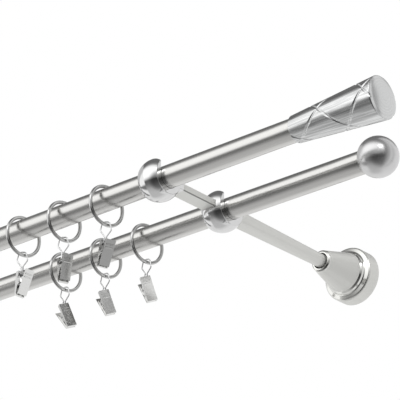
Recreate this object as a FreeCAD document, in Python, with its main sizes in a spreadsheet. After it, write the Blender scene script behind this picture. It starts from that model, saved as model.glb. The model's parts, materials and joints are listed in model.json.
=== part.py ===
import FreeCAD, Part

import math
import os

import Sketcher
from FreeCAD import Placement, Rotation, Vector

# Double curtain pole for a wall: two satin steel tubes of one diameter, one in front of the other,
# on two brackets. Each bracket is a turned rose on the wall, an arm, and two ball-shaped cups that
# are open at the top, so that the tubes are laid in from above. The front tube ends in grooved
# cones and the rear tube in balls. Rings with spring clips hang from both tubes.
#
# Frame: X along the tubes, +Y into the wall, +Z up. The origin is the middle of the right bracket
# on the wall's face, so the whole object lies on the -Y side of the plane Y = 0.

# Driving sizes, in millimetres and degrees
SIZES = (
    ("pole_dia", 16, "outside diameter of both poles"),
    ("pole_wall", 1, "wall of the pole tubes"),
    ("pole_length", 1000, "length of each pole"),
    ("pole_overhang", 123, "pole end beyond the middle of its bracket"),
    ("rear_reach", 154, "wall to the axis of the rear pole"),
    ("pole_gap", 65, "axis of the rear pole to axis of the front pole"),
    ("fit_play", 0.1, "play of a spigot, socket or stud all round"),
    ("cup_dia", 30, "ball that each cup is cut from"),
    ("cup_width", 17.2, "between the two flats of a cup"),
    ("cup_edge", 0.7, "rounding where a flat meets the ball"),
    ("seat_play", 0.2, "seat radius beyond the pole's radius"),
    ("arm_recess", 2.4, "depth at which an arm stands in the ball"),
    ("arm_width", 11.5, "flat front arm, along the poles"),
    ("arm_height", 5, "flat front arm, upright"),
    ("arm_edge", 0.4, "rounding of the flat arm's long edges"),
    ("neck_width", 12.6, "collar of the front cup, along the poles"),
    ("neck_height", 6.4, "collar of the front cup, upright"),
    ("neck_length", 2.6, "collar of the front cup beyond the ball"),
    ("stud_dia", 5, "studs on the arm ends"),
    ("stud_length", 3.4, "length of the studs on the arm ends"),
    ("rod_width", 10.6, "rear arm at its cup, along the poles"),
    ("rod_height", 9.2, "rear arm at its cup, upright"),
    ("rod_corner", 1.7, "corner radius of the rear arm at its cup"),
    ("rod_dia", 10, "rear arm where it is round"),
    ("rod_round", 8, "round stretch of the rear arm in front of the rose"),
    ("rose_dia", 41.6, "skirt of the rose"),
    ("rose_depth", 43.6, "wall to the rim of the rose"),
    ("rose_wall", 1.9, "wall of the rose"),
    ("skirt_depth", 10.6, "straight part of the skirt"),
    ("outer_step_dia", 38.6, "outer polished step"),
    ("outer_step_depth", 12.2, "wall to the outer step"),
    ("inner_step_dia", 33.4, "inner polished step"),
    ("inner_step_depth", 15, "wall to the inner step"),
    ("cone_base_dia", 30.4, "cone of the rose at its base"),
    ("rim_dia", 16, "rim of the rose"),
    ("rim_bore", 12, "hole in the rim, wider than the arm"),
    ("rim_round", 1, "rolled edge of the rim"),
    ("plate_thick", 5, "disc that is screwed to the wall"),
    ("plate_play", 0.15, "play between the disc and the rose"),
    ("socket_dia", 16, "socket for the arm on the disc"),
    ("socket_depth", 6, "socket beyond the disc"),
    ("screw_spacing", 25, "between the two wall screw holes"),
    ("screw_hole_dia", 4.5, "wall screw holes"),
    ("bolt_dia", 5, "screw that holds the arm on the disc"),
    ("bolt_length", 17, "length of that screw"),
    ("bolt_head_dia", 9.4, "countersunk head of that screw"),
    ("grub_dia", 3, "grub screw that locks the rose"),
    ("spigot_length", 18, "spigot of a finial inside its pole"),
    ("cone_cap", 6, "grooved cone beyond the pole's end, over the pole"),
    ("cone_length", 67.5, "grooved cone, without its domed end"),
    ("cone_small_dia", 18.6, "grooved cone at the pole"),
    ("cone_large_dia", 29, "grooved cone at its far end"),
    ("dome_rise", 1.6, "height of the cone's domed end"),
    ("cone_edge", 0.8, "rounding of the cone's far edge"),
    ("ball_dia", 28, "ball finial"),
    ("ball_cap", 1.2, "ball over the end of the pole"),
    ("ring_bore", 26, "inside diameter of a ring"),
    ("ring_bar_height", 2.4, "ring's bar, from bore to outside"),
    ("ring_bar_width", 2.1, "ring's bar, along the pole"),
    ("ring_bar_round", 0.7, "rounding of the ring's bar"),
    ("ring_play", 0.3, "ring above the pole's top"),
    ("ring_pitch", 40.2, "between rings"),
    ("front_ring_start", 48.3, "bracket to the first ring of the front pole"),
    ("rear_ring_start", 70, "bracket to the first ring of the rear pole"),
    ("ring_turn", 7, "turn of a hanging ring about the upright"),
    ("wire_dia", 0.95, "wire of the hangers"),
    ("loop_top", 2.3, "hanger: ring's bar to the top of the loop"),
    ("loop_top_width", 5, "hanger: width at the top of the loop"),
    ("loop_width", 7.6, "hanger: widest part of the loop"),
    ("loop_wide_drop", 4.2, "hanger: ring's bar down to its widest part"),
    ("neck_spread", 1.3, "hanger: between its wires at the neck"),
    ("neck_drop", 8.8, "hanger: ring's bar down to its neck"),
    ("leg_spread", 2, "hanger: between its legs in the clip"),
    ("leg_rise", 0.8, "hanger: straight leg above the clip"),
    ("leg_back", 1.6, "hanger: legs behind the clip's front"),
    ("leg_slot_width", 1.15, "slot for the legs"),
    ("leg_slot_length", 5.8, "slot for the legs, across the jaw"),
    ("leg_end_dia", 1.7, "riveted ends of the legs"),
    ("clip_drop", 11.3, "ring's bar down to the top of the clip"),
    ("clip_length", 18.5, "front jaw, upright"),
    ("clip_width", 7.3, "both jaws"),
    ("sheet_thick", 0.5, "sheet of the jaws"),
    ("top_fold", 3, "fold at the top of the front jaw"),
    ("side_fold", 2.3, "folds along the front jaw"),
    ("lip_fold", 1.9, "lips at the bottom of the jaws"),
    ("ear_round", 1.2, "ears around the pin"),
    ("rib_rise", 0.35, "raised ribs across the jaws"),
    ("rib_height", 1.1, "raised ribs, along a jaw"),
    ("rib_length", 5.4, "raised ribs, across a jaw"),
    ("rib_drop", 3.5, "top of a jaw to its first rib"),
    ("rib_pitch", 2.2, "between the ribs"),
    ("pin_dia", 1.2, "pin of the clip"),
    ("pin_play", 0.05, "play of the pin in its holes"),
    ("pin_back", 4.4, "pin behind the front of the clip"),
    ("pin_drop", 8.6, "pin below the top of the clip"),
    ("pin_head", 2, "heads of the pin"),
    ("jaw_open", 24.7, "back jaw against the front jaw, at rest"),
    ("jaw_lower", 9.1, "back jaw below the pin"),
    ("jaw_upper", 9.4, "back jaw above the pin"),
    ("mouth_depth", 4.05, "over both jaws at their lips"),
    ("jaw_side", 1.6, "folds along the back jaw"),
    ("ear_play", 0.15, "between the ears of the two jaws"),
    ("spring_dia", 3.2, "coil of the clip's spring"),
    ("spring_wire", 0.5, "wire of the clip's spring"),
    ("spring_turns", 5, "turns of the clip's spring"),
    ("tool_reach", 2, "cutting shapes beyond the piece that they cut"),
)

# How each clip hangs in the photograph: turn of its front about the upright, roll in its own plane,
# and lean of its top towards its front, in degrees, with the turn of its hanger's loop, and how far
# the legs have slid along their slot, and how much longer than clip_drop this hanger is bent. The
# clips of the front row show their back jaws.
HANGING = {
    "front": ((202, 3, -4, 34, 0, 1.1), (203, 1, 13, 34, 0, 3.4), (188, 4, 3, 36, 0, 2)),
    "rear": ((37, 19, 2, 12, 1.2, -0.4), (32, 19.4, -3, 12, 1.2, -0.4), (26, 20, -9.4, 12, 1.2, -0.3)),
}

doc = FreeCAD.newDocument("double_curtain_pole")
sheet = doc.addObject("Spreadsheet::Sheet", "Sizes")
for row, (alias, value, meaning) in enumerate(SIZES, 1):
    sheet.set("A%d" % row, meaning)
    sheet.set("B%d" % row, str(value))
    sheet.setAlias("B%d" % row, alias)
doc.recompute()


class Size:
    """A length or angle as a number, with the sheet expression that it comes from."""

    def __init__(self, value, text):
        self.value = value
        self.text = text

    def __add__(self, other):
        other = as_size(other)
        return Size(self.value + other.value, "(%s + %s)" % (self.text, other.text))

    def __sub__(self, other):
        other = as_size(other)
        return Size(self.value - other.value, "(%s - %s)" % (self.text, other.text))

    def __mul__(self, other):
        other = as_size(other)
        return Size(self.value * other.value, "%s * %s" % (self.text, other.text))

    def __truediv__(self, other):
        other = as_size(other)
        return Size(self.value / other.value, "%s / %s" % (self.text, other.text))

    def __rsub__(self, other):
        return as_size(other) - self

    def __neg__(self):
        return Size(-self.value, "(0 - %s)" % self.text)

    __radd__ = __add__
    __rmul__ = __mul__


def as_size(number):
    """Return a plain number as a Size, and a Size as it is."""
    if isinstance(number, Size):
        return number
    return Size(float(number), "(%r)" % float(number))


def root(size):
    return Size(math.sqrt(size.value), "sqrt(%s)" % size.text)


def sine(angle):
    return Size(math.sin(math.radians(angle.value)), "sin(%s)" % angle.text)


def cosine(angle):
    return Size(math.cos(math.radians(angle.value)), "cos(%s)" % angle.text)


def sized(alias):
    """Return one cell of the sheet."""
    return Size(float(getattr(sheet, alias)), "Sizes.%s" % alias)


ZERO = as_size(0)
POLE_RADIUS = sized("pole_dia") / 2
FRONT_Y = -(sized("rear_reach") + sized("pole_gap"))
REAR_Y = -sized("rear_reach")
RIGHT_END_X = sized("pole_overhang")
LEFT_END_X = sized("pole_overhang") - sized("pole_length")
LEFT_BRACKET_X = 2 * sized("pole_overhang") - sized("pole_length")
ARM_SEAT = sized("cup_dia") / 2 - sized("arm_recess")
RING_Z = POLE_RADIUS + sized("ring_play") - sized("ring_bore") / 2
BAR_Z = RING_Z - sized("ring_bore") / 2 - sized("ring_bar_height") / 2

subparts = []


def bind(item, **sizes):
    """Tie properties of an object to the sheet."""
    for name, size in sizes.items():
        item.setExpression(name, as_size(size).text)


def put(item, x=0, y=0, z=0, turn=None):
    """Place an object at sizes from the sheet, turned first if a rotation is given."""
    x, y, z = as_size(x), as_size(y), as_size(z)
    item.Placement = Placement(Vector(x.value, y.value, z.value), turn or Rotation())
    item.setExpression("Placement.Base.x", x.text)
    item.setExpression("Placement.Base.y", y.text)
    item.setExpression("Placement.Base.z", z.text)


def keep(item, label):
    """Name an object as a sub-part."""
    item.Label = label
    subparts.append(item)
    return item


def box(name, length, width, height, x, y, z):
    """Block that is centred on x and y, with its underside at z."""
    item = doc.addObject("Part::Box", name)
    bind(item, Length=length, Width=width, Height=height)
    put(item, x - as_size(length) / 2, y - as_size(width) / 2, z)
    return item


TURN_TO = {"X": Rotation(Vector(0, 1, 0), 90), "-Y": Rotation(Vector(1, 0, 0), 90),
           "Y": Rotation(Vector(1, 0, 0), -90), "Z": Rotation()}


def rod(name, radius, length, x, y, z, along):
    """Cylinder that starts at a point and runs along an axis."""
    item = doc.addObject("Part::Cylinder", name)
    bind(item, Radius=radius, Height=length)
    put(item, x, y, z, TURN_TO[along])
    return item


def cut(name, base, *tools):
    item = doc.addObject("Part::Cut", name)
    item.Base = base
    item.Tool = tools[0] if len(tools) == 1 else fuse(name + "_tools", *tools)
    return item


def fuse(name, *shapes):
    item = doc.addObject("Part::MultiFuse", name)
    item.Shapes = list(shapes)
    return item


def is_circle(edge):
    return not edge.Degenerated and isinstance(edge.Curve, Part.Circle)


def runs_along_y(edge):
    if edge.Degenerated or not isinstance(edge.Curve, Part.Line):
        return False
    direction = edge.Vertexes[1].Point - edge.Vertexes[0].Point
    return abs(direction.y) > direction.Length * 0.99


def rounded(name, base, radius, wanted):
    """Round the edges of an object for which a test on the edge is true."""
    doc.recompute()
    radius = as_size(radius).value
    edges = [(number, radius, radius) for number, edge in enumerate(base.Shape.Edges, 1) if wanted(edge)]
    item = doc.addObject("Part::Fillet", name)
    item.Base = base
    item.Edges = edges
    return item


def outline(body, name, role, points):
    """Closed sketch through points that are pairs of sizes, on one of a body's own planes.

    A third entry "dome" makes the side from that point to the next an arc above the sketch's
    horizontal axis, with its centre on that axis.
    """
    sketch = body.newObject("Sketcher::SketchObject", name)
    plane = [feature for feature in body.Origin.OriginFeatures if feature.Role == role][0]
    sketch.AttachmentSupport = [(plane, "")]
    sketch.MapMode = "FlatFace"
    corners = [(as_size(point[0]), as_size(point[1])) for point in points]
    count = len(corners)
    ends = []
    for number, point in enumerate(points):
        follow = corners[(number + 1) % count]
        start = Vector(corners[number][0].value, corners[number][1].value, 0)
        end = Vector(follow[0].value, follow[1].value, 0)
        if len(point) == 2:
            sketch.addGeometry(Part.LineSegment(start, end), False)
            ends.append((1, 2))
            continue
        # A sketched arc always runs counter-clockwise, so one drawn the other way has its ends exchanged
        centre_x = (end.dot(end) - start.dot(start)) / (2 * (end.x - start.x))
        circle = Part.Circle(Vector(centre_x, 0, 0), Vector(0, 0, 1), math.hypot(start.x - centre_x, start.y))
        first = math.atan2(start.y, start.x - centre_x)
        last = math.atan2(end.y, end.x - centre_x)
        sketch.addGeometry(Part.ArcOfCircle(circle, min(first, last), max(first, last)), False)
        ends.append((1, 2) if first < last else (2, 1))
    for number in range(count):
        following = (number + 1) % count
        sketch.addConstraint(Sketcher.Constraint(
            "Coincident", number, ends[number][1], following, ends[following][0]))
    for number, (across, along) in enumerate(corners):
        start = ends[number][0]
        index = sketch.addConstraint(Sketcher.Constraint("DistanceX", -1, 1, number, start, across.value))
        sketch.setExpression("Constraints[%d]" % index, across.text)
        index = sketch.addConstraint(Sketcher.Constraint("DistanceY", -1, 1, number, start, along.value))
        sketch.setExpression("Constraints[%d]" % index, along.text)
        if len(points[number]) == 3:
            sketch.addConstraint(Sketcher.Constraint("PointOnObject", number, 3, -1))
    return sketch


def new_body(name):
    body = doc.addObject("PartDesign::Body", name)
    body.Label = name
    return body


def turned(name, points, axis):
    """Body turned about the X axis ("H_Axis") or the Y axis ("V_Axis") from an outline."""
    body = new_body(name)
    sketch = outline(body, name + "_outline", "XY_Plane", points)
    revolution = body.newObject("PartDesign::Revolution", name + "_turning")
    revolution.Profile = sketch
    revolution.ReferenceAxis = (sketch, [axis])
    revolution.Angle = 360
    return body


def round_body(body, radius, wanted):
    """Add a fillet to the edges of a body for which a test is true."""
    doc.recompute()
    tip = body.Tip
    names = ["Edge%d" % number for number, edge in enumerate(tip.Shape.Edges, 1) if wanted(edge)]
    fillet = body.newObject("PartDesign::Fillet", body.Name + "_rounding")
    fillet.Base = (tip, names)
    bind(fillet, Radius=radius)
    return fillet


def extruded(body, kind, name, role, points, width):
    """Pad or pocket of an outline, the same way to both sides of its plane."""
    sketch = outline(body, name + "_outline", role, points)
    feature = body.newObject("PartDesign::" + kind, name)
    feature.Profile = sketch
    feature.SideType = "Symmetric"
    bind(feature, Length=width)
    return feature


def bored(body, name, role, radius, across, along, length, both_ways=True):
    """Round pocket through a body, square to one of its own planes."""
    sketch = body.newObject("Sketcher::SketchObject", name + "_circle")
    plane = [feature for feature in body.Origin.OriginFeatures if feature.Role == role][0]
    sketch.AttachmentSupport = [(plane, "")]
    sketch.MapMode = "FlatFace"
    radius, across, along = as_size(radius), as_size(across), as_size(along)
    centre = Vector(across.value, along.value, 0)
    sketch.addGeometry(Part.Circle(centre, Vector(0, 0, 1), radius.value), False)
    for kind, size in (("DistanceX", across), ("DistanceY", along)):
        index = sketch.addConstraint(Sketcher.Constraint(kind, -1, 1, 0, 3, size.value))
        sketch.setExpression("Constraints[%d]" % index, size.text)
    index = sketch.addConstraint(Sketcher.Constraint("Radius", 0, radius.value))
    sketch.setExpression("Constraints[%d]" % index, radius.text)
    pocket = body.newObject("PartDesign::Pocket", name)
    pocket.Profile = sketch
    pocket.SideType = "Symmetric" if both_ways else "One side"
    bind(pocket, Length=length)
    return pocket


# Poles
def pole(name, y):
    """Plain round tube, open at both ends."""
    outer = POLE_RADIUS
    inner = POLE_RADIUS - sized("pole_wall")
    points = ((LEFT_END_X, inner), (RIGHT_END_X, inner), (RIGHT_END_X, outer), (LEFT_END_X, outer))
    body = turned(name, points, "H_Axis")
    put(body, 0, y, 0)
    keep(body, name)


# Brackets
def cup(side, name, bracket_x, y, is_front):
    """Ball with two flats, open at the top, with a half-round seat for the pole.

    The front cup has a collar towards the wall, and the rear cup a recess for each arm.
    """
    label = "%s_%s" % (side, name)
    radius = sized("cup_dia") / 2
    seat_radius = POLE_RADIUS + sized("seat_play")
    half = sized("cup_width") / 2
    flat = root(radius * radius - half * half)
    ball = turned(label + "_ball", ((-half, 0), (-half, flat, "dome"), (half, flat), (half, 0)), "H_Axis")
    round_body(ball, sized("cup_edge"), is_circle)
    put(ball, bracket_x, y, 0)
    long = sized("cup_width") + sized("tool_reach")
    seat = rod(label + "_seat", seat_radius, long, bracket_x - long / 2, y, 0, "X")
    slot = box(label + "_slot", long, seat_radius * 2, sized("cup_dia"), bracket_x, y, 0)
    stud_radius = sized("stud_dia") / 2 + sized("fit_play")
    stud_depth = sized("stud_length") + sized("fit_play") * 2
    stud_cut = stud_depth + sized("tool_reach")
    if is_front:
        neck_end = radius + sized("neck_length")
        neck_start = radius - sized("arm_recess") * 1.5
        neck_block = box(label + "_neck_block", sized("neck_width"), neck_end - neck_start,
                         sized("neck_height"), bracket_x, y + (neck_end + neck_start) / 2,
                         -sized("neck_height") / 2)
        neck = rounded(label + "_neck", neck_block, sized("arm_edge") * 2, runs_along_y)
        whole = fuse(label + "_whole", ball, neck)
        stud_hole = rod(label + "_stud_hole", stud_radius, stud_cut, bracket_x,
                        y + neck_end - stud_depth, 0, "Y")
        item = cut(label, whole, seat, slot, stud_hole)
    else:
        play = sized("fit_play")
        reach = sized("cup_dia") / 2
        front_recess = box(label + "_front_recess", sized("arm_width") + play * 2, reach,
                           sized("arm_height") + play * 2, bracket_x, y - ARM_SEAT - reach / 2,
                           -sized("arm_height") / 2 - play)
        rear_recess = box(label + "_rear_recess", sized("rod_width") + play * 2, reach,
                          sized("rod_height") + play * 2, bracket_x, y + ARM_SEAT + reach / 2,
                          -sized("rod_height") / 2 - play)
        front_hole = rod(label + "_front_hole", stud_radius, stud_cut, bracket_x,
                         y - ARM_SEAT + stud_depth, 0, "-Y")
        rear_hole = rod(label + "_rear_hole", stud_radius, stud_cut, bracket_x,
                        y + ARM_SEAT - stud_depth, 0, "Y")
        item = cut(label, ball, seat, slot, front_recess, rear_recess, front_hole, rear_hole)
    keep(item, label)


def front_arm(side, bracket_x):
    """Flat bar between the two cups, with a stud at each end."""
    label = side + "_front_arm"
    start = FRONT_Y + sized("cup_dia") / 2 + sized("neck_length")
    end = REAR_Y - ARM_SEAT
    bar = box(label + "_bar", sized("arm_width"), end - start, sized("arm_height"), bracket_x,
              (start + end) / 2, -sized("arm_height") / 2)
    smooth = rounded(label + "_smooth", bar, sized("arm_edge"), runs_along_y)
    stud_radius = sized("stud_dia") / 2
    front_stud = rod(label + "_front_stud", stud_radius, sized("stud_length"), bracket_x, start, 0, "-Y")
    rear_stud = rod(label + "_rear_stud", stud_radius, sized("stud_length"), bracket_x, end, 0, "Y")
    keep(fuse(label, smooth, front_stud, rear_stud), label)


def rounded_rectangle(width, height, corner, x, y):
    """Wire in a plane square to Y, a rectangle with round corners about the line of the arm."""
    half_w = width / 2
    half_h = height / 2
    edges = []
    lean = math.sqrt(0.5)
    for turn in range(4):
        angle = math.radians(90 * turn)
        along = Vector(math.cos(angle), 0, math.sin(angle))
        up = Vector(-math.sin(angle), 0, math.cos(angle))
        out, side = (half_w, half_h) if turn % 2 == 0 else (half_h, half_w)
        low = Vector(x, y, 0) + along * out - up * (side - corner)
        high = Vector(x, y, 0) + along * out + up * (side - corner)
        centre = high - along * corner
        edges.append(Part.LineSegment(low, high).toShape())
        middle = centre + (along + up) * (corner * lean)
        edges.append(Part.Arc(high, middle, centre + up * corner).toShape())
    return Part.Wire(edges)


def rear_arm(side, bracket_x):
    """Arm from the rear cup to the wall: soft-edged bar that turns round before it meets the rose."""
    label = side + "_rear_arm"
    cup_end = (REAR_Y + ARM_SEAT).value
    round_from = -(sized("rose_depth") + sized("rod_round")).value
    wall_end = -sized("plate_thick").value
    radius = sized("rod_dia").value / 2
    x = bracket_x.value
    square = rounded_rectangle(sized("rod_width").value, sized("rod_height").value,
                               sized("rod_corner").value, x, cup_end)
    nearly_round = rounded_rectangle(radius * 2, radius * 2, radius * 0.985, x, round_from)
    tapered = Part.makeLoft([square, nearly_round], True, True)
    straight = Part.Face(nearly_round).extrude(Vector(0, wall_end - round_from, 0))
    stud = Part.makeCylinder(sized("stud_dia").value / 2, sized("stud_length").value,
                             Vector(x, cup_end, 0), Vector(0, -1, 0))
    bore = Part.makeCylinder(sized("bolt_dia").value / 2 + sized("fit_play").value,
                             (sized("bolt_length") - sized("plate_thick") + sized("tool_reach")).value,
                             Vector(x, wall_end, 0), Vector(0, -1, 0))
    shape = tapered.fuse([straight, stud]).removeSplitter().cut(bore)
    item = doc.addObject("Part::Feature", label)
    item.Shape = shape
    keep(item, label)


def rose(side, bracket_x):
    """Turned hollow cover on the wall: skirt, two polished steps and a cone with a rolled rim."""
    label = side + "_rose"
    wall = sized("rose_wall")
    cavity = sized("rose_dia") / 2 - wall
    outer_step = sized("outer_step_depth")
    inner_step = sized("inner_step_depth")
    depth = sized("rose_depth")
    bevel = outer_step - sized("skirt_depth")
    points = (
        (sized("rose_dia") / 2, 0),
        (sized("rose_dia") / 2, -sized("skirt_depth")),
        (sized("outer_step_dia") / 2, -outer_step),
        (sized("inner_step_dia") / 2 + bevel / 2, -outer_step),
        (sized("inner_step_dia") / 2, -outer_step - bevel / 2),
        (sized("inner_step_dia") / 2, -inner_step),
        (sized("cone_base_dia") / 2, -inner_step - bevel / 2),
        (sized("rim_dia") / 2, -depth),
        (sized("rim_bore") / 2, -depth),
        (sized("rim_bore") / 2, -depth + wall),
        (sized("cone_base_dia") / 2 - wall, -inner_step + wall / 2),
        (cavity, -sized("skirt_depth") + wall / 2),
        (cavity, 0),
    )
    body = turned(label, points, "V_Axis")
    rim_y = -depth.value
    rim_radius = sized("rim_dia").value / 2

    def at_the_rim(edge):
        if not is_circle(edge) or abs(edge.CenterOfMass.y - rim_y) > 0.01:
            return False
        return abs(edge.Curve.Radius - rim_radius) < 0.01

    round_body(body, sized("rim_round"), at_the_rim)
    doc.recompute()
    hole = bored(body, label + "_grub_hole", "XY_Plane", sized("grub_dia") / 2 + sized("fit_play") / 2,
                 0, -sized("plate_thick") / 2, sized("rose_dia"), both_ways=False)
    hole.Reversed = True
    put(body, bracket_x, 0, 0)
    keep(body, label)


def wall_plate(side, bracket_x):
    """Disc on the wall inside the rose, with a socket for the arm and two screw holes."""
    label = side + "_wall_plate"
    disc = sized("rose_dia") / 2 - sized("rose_wall") - sized("plate_play")
    thick = sized("plate_thick")
    head = sized("bolt_head_dia") / 2 + sized("fit_play")
    shank = sized("bolt_dia") / 2 + sized("fit_play")
    socket = sized("rod_dia") / 2 + sized("fit_play")
    top = thick + sized("socket_depth")
    points = (
        (head, 0), (disc, 0), (disc, -thick), (sized("socket_dia") / 2, -thick),
        (sized("socket_dia") / 2, -top), (socket, -top), (socket, -thick), (shank, -thick),
        (shank, -(head - shank)),
    )
    body = turned(label, points, "V_Axis")
    for number, way in enumerate((-1, 1)):
        bored(body, "%s_screw_hole_%d" % (label, number + 1), "XZ_Plane", sized("screw_hole_dia") / 2,
              sized("screw_spacing") / 2 * way, 0, thick * 3)
    dimple = bored(body, label + "_grub_seat", "XY_Plane", sized("grub_dia") / 2 + sized("fit_play") / 2,
                   0, -thick / 2, sized("rose_dia"), both_ways=False)
    dimple.Reversed = True
    dimple_sketch = dimple.Profile[0]
    depth = disc - sized("grub_dia") * 0.6
    dimple_sketch.AttachmentOffset = Placement(Vector(0, 0, depth.value), Rotation())
    dimple_sketch.setExpression("AttachmentOffset.Base.z", depth.text)
    put(body, bracket_x, 0, 0)
    keep(body, label)


def arm_bolt(side, bracket_x):
    """Countersunk screw from the back of the disc into the arm."""
    label = side + "_arm_bolt"
    head = sized("bolt_head_dia") / 2
    shank = sized("bolt_dia") / 2
    sunk = sized("fit_play")
    slot = sized("bolt_dia") / 6
    points = (
        (slot, -sunk), (head, -sunk), (shank, -sunk - (head - shank)), (shank, -sized("bolt_length")),
        (0, -sized("bolt_length")), (0, -sunk - slot * 2), (slot, -sunk - slot * 2),
    )
    body = turned(label, points, "V_Axis")
    put(body, bracket_x, 0, 0)
    keep(body, label)


def grub_screw(side, bracket_x):
    """Headless screw through the top of the skirt into the edge of the disc."""
    label = side + "_rose_grub_screw"
    disc = sized("rose_dia") / 2 - sized("rose_wall") - sized("plate_play")
    bottom = disc - sized("grub_dia") * 0.5
    height = sized("rose_dia") / 2 - sized("rose_wall") * 0.3 - bottom
    middle = -sized("plate_thick") / 2
    blank = rod(label + "_blank", sized("grub_dia") / 2, height, bracket_x, middle, bottom, "Z")
    socket = doc.addObject("Part::Prism", label + "_socket")
    socket.Polygon = 6
    bind(socket, Circumradius=sized("grub_dia") * 0.28, Height=height / 2)
    put(socket, bracket_x, middle, bottom + height * 0.6)
    keep(cut(label, blank, socket), label)


# Finials
def cone_finial(label, end_x, turn):
    """Tapered finial: a cap over the pole, a spigot in it, and a domed far end."""
    small = sized("cone_small_dia") / 2
    large = sized("cone_large_dia") / 2
    cap = sized("cone_cap")
    far = sized("cone_length") - cap
    spigot = POLE_RADIUS - sized("pole_wall") - sized("fit_play")
    sleeve = POLE_RADIUS + sized("fit_play")
    points = (
        (-sized("spigot_length"), 0), (-sized("spigot_length"), spigot), (0, spigot), (0, sleeve),
        (-cap, sleeve), (-cap, small), (far, large, "dome"), (far + sized("dome_rise"), 0),
    )
    body = turned(label, points, "H_Axis")
    far_x = far.value

    def at_the_far_edge(edge):
        if not is_circle(edge) or abs(edge.CenterOfMass.x - far_x) > 0.01:
            return False
        return abs(edge.Curve.Radius - large.value) < 0.01

    round_body(body, sized("cone_edge"), at_the_far_edge)
    put(body, end_x, FRONT_Y, 0, turn)
    keep(body, label)


def ball_finial(label, end_x, turn):
    """Ball with a short seat over the pole's end and a spigot in the pole."""
    radius = sized("ball_dia") / 2
    spigot = POLE_RADIUS - sized("pole_wall") - sized("fit_play")
    sleeve = POLE_RADIUS + sized("fit_play")
    middle = root(radius * radius - sleeve * sleeve) - sized("ball_cap")
    points = (
        (-sized("spigot_length"), 0), (-sized("spigot_length"), spigot), (0, spigot), (0, sleeve),
        (-sized("ball_cap"), sleeve, "dome"), (middle + radius, 0),
    )
    body = turned(label, points, "H_Axis")
    put(body, end_x, REAR_Y, 0, turn)
    keep(body, label)


# Rings and clips
def ring(label, x, y):
    """Ring with a soft-edged flat bar, hanging on the pole by the inside of its top."""
    half = sized("ring_bar_width") / 2
    inner = sized("ring_bore") / 2
    outer = inner + sized("ring_bar_height")
    body = turned(label, ((-half, inner), (half, inner), (half, outer), (-half, outer)), "H_Axis")
    round_body(body, sized("ring_bar_round"), is_circle)
    turn = Rotation(Vector(0, 0, 1), -sized("ring_turn").value)
    put(body, x, y, RING_Z, turn)
    keep(body, label)


def rounded_path(points, radii):
    """Open wire of straight runs, with a tangent arc of a given radius at each inner point."""
    edges = []
    last = points[0]
    for number in range(1, len(points) - 1):
        corner = points[number]
        before = (points[number - 1] - corner).normalize()
        after = (points[number + 1] - corner).normalize()
        half = before.getAngle(after) / 2
        reach = radii[number - 1] / math.tan(half)
        centre = corner + (before + after).normalize() * (radii[number - 1] / math.sin(half))
        start = corner + before * reach
        end = corner + after * reach
        middle = centre + (corner - centre).normalize() * radii[number - 1]
        edges.append(Part.LineSegment(last, start).toShape())
        edges.append(Part.Arc(start, middle, end).toShape())
        last = end
    edges.append(Part.LineSegment(last, points[-1]).toShape())
    return Part.Wire(edges)


def clip_place(x, y, hanging):
    """Placement of a clip: its own X across the jaw, Y backwards and Z up along the front jaw."""
    turn, roll, lean, _, slide, longer = hanging
    rotation = Rotation(Vector(0, 0, 1), 90 - turn)
    rotation = rotation.multiply(Rotation(Vector(0, -1, 0), roll))
    rotation = rotation.multiply(Rotation(Vector(1, 0, 0), lean))
    legs = rotation.multVec(Vector(slide, sized("leg_back").value, 0))
    top = Vector(x.value, y.value, (BAR_Z - sized("clip_drop")).value - longer)
    return Placement(top - legs, rotation)


def hanger(label, x, y, hanging):
    """Wire loop round the ring's bar, with its two legs riveted into the slot of the clip."""
    place = clip_place(x, y, hanging)
    turn = math.radians(hanging[3])
    across = Vector(math.cos(turn), math.sin(turn), 0)
    bar = Vector(x.value, y.value, BAR_Z.value)

    def at(spread, height):
        return bar + across * (spread / 2) + Vector(0, 0, height)

    def in_clip(spread, height):
        return place.multVec(Vector(spread / 2 + hanging[4], sized("leg_back").value, height))

    def side_of(way):
        legs = sized("leg_spread").value * way
        return [
            in_clip(legs, -sized("sheet_thick").value - sized("leg_end_dia").value / 2),
            in_clip(legs, sized("leg_rise").value),
            at(sized("neck_spread").value * way, -sized("neck_drop").value),
            at(sized("loop_width").value * way, -sized("loop_wide_drop").value),
            at(sized("loop_top_width").value * way, sized("loop_top").value),
        ]

    # The loop's direction and the jaw's are at most a right angle apart, so the legs don't cross
    aligned = 1 if across.dot(place.Rotation.multVec(Vector(1, 0, 0))) > 0 else -1
    right = side_of(1)
    left = side_of(-1)
    if aligned < 0:
        right[:2], left[:2] = left[:2], right[:2]
    wire = sized("wire_dia").value
    top_round = sized("loop_top").value * 0.95
    radii = (wire * 0.7, wire, wire * 2.7, top_round)
    path = rounded_path(right + left[::-1], radii + radii[::-1])
    start = path.Edges[0].Vertexes[0].Point
    way = path.Edges[0].tangentAt(path.Edges[0].FirstParameter)
    profile = Part.Wire(Part.Circle(start, way, wire / 2).toShape())
    shape = path.makePipeShell([profile], True, True)
    ends = [Part.makeSphere(sized("leg_end_dia").value / 2, point) for point in (right[0], left[0])]
    item = doc.addObject("Part::Feature", label)
    item.Shape = shape.fuse(ends)
    keep(item, label)


def ribs(body, label, face, out, top):
    """Two raised ribs across the outside of a jaw, whose face lies square to the sketch's X."""
    for number in range(2):
        middle = top - sized("rib_drop") - sized("rib_pitch") * number
        half = sized("rib_height") / 2
        root_line = face - sized("sheet_thick") / 2 * out
        crest = face + sized("rib_rise") * out
        extruded(body, "Pad", "%s_rib_%d" % (label, number + 1), "YZ_Plane", (
            (root_line, middle + half), (face, middle + half), (crest, middle + half / 2),
            (crest, middle - half / 2), (face, middle - half), (root_line, middle - half),
        ), sized("rib_length"))


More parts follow.
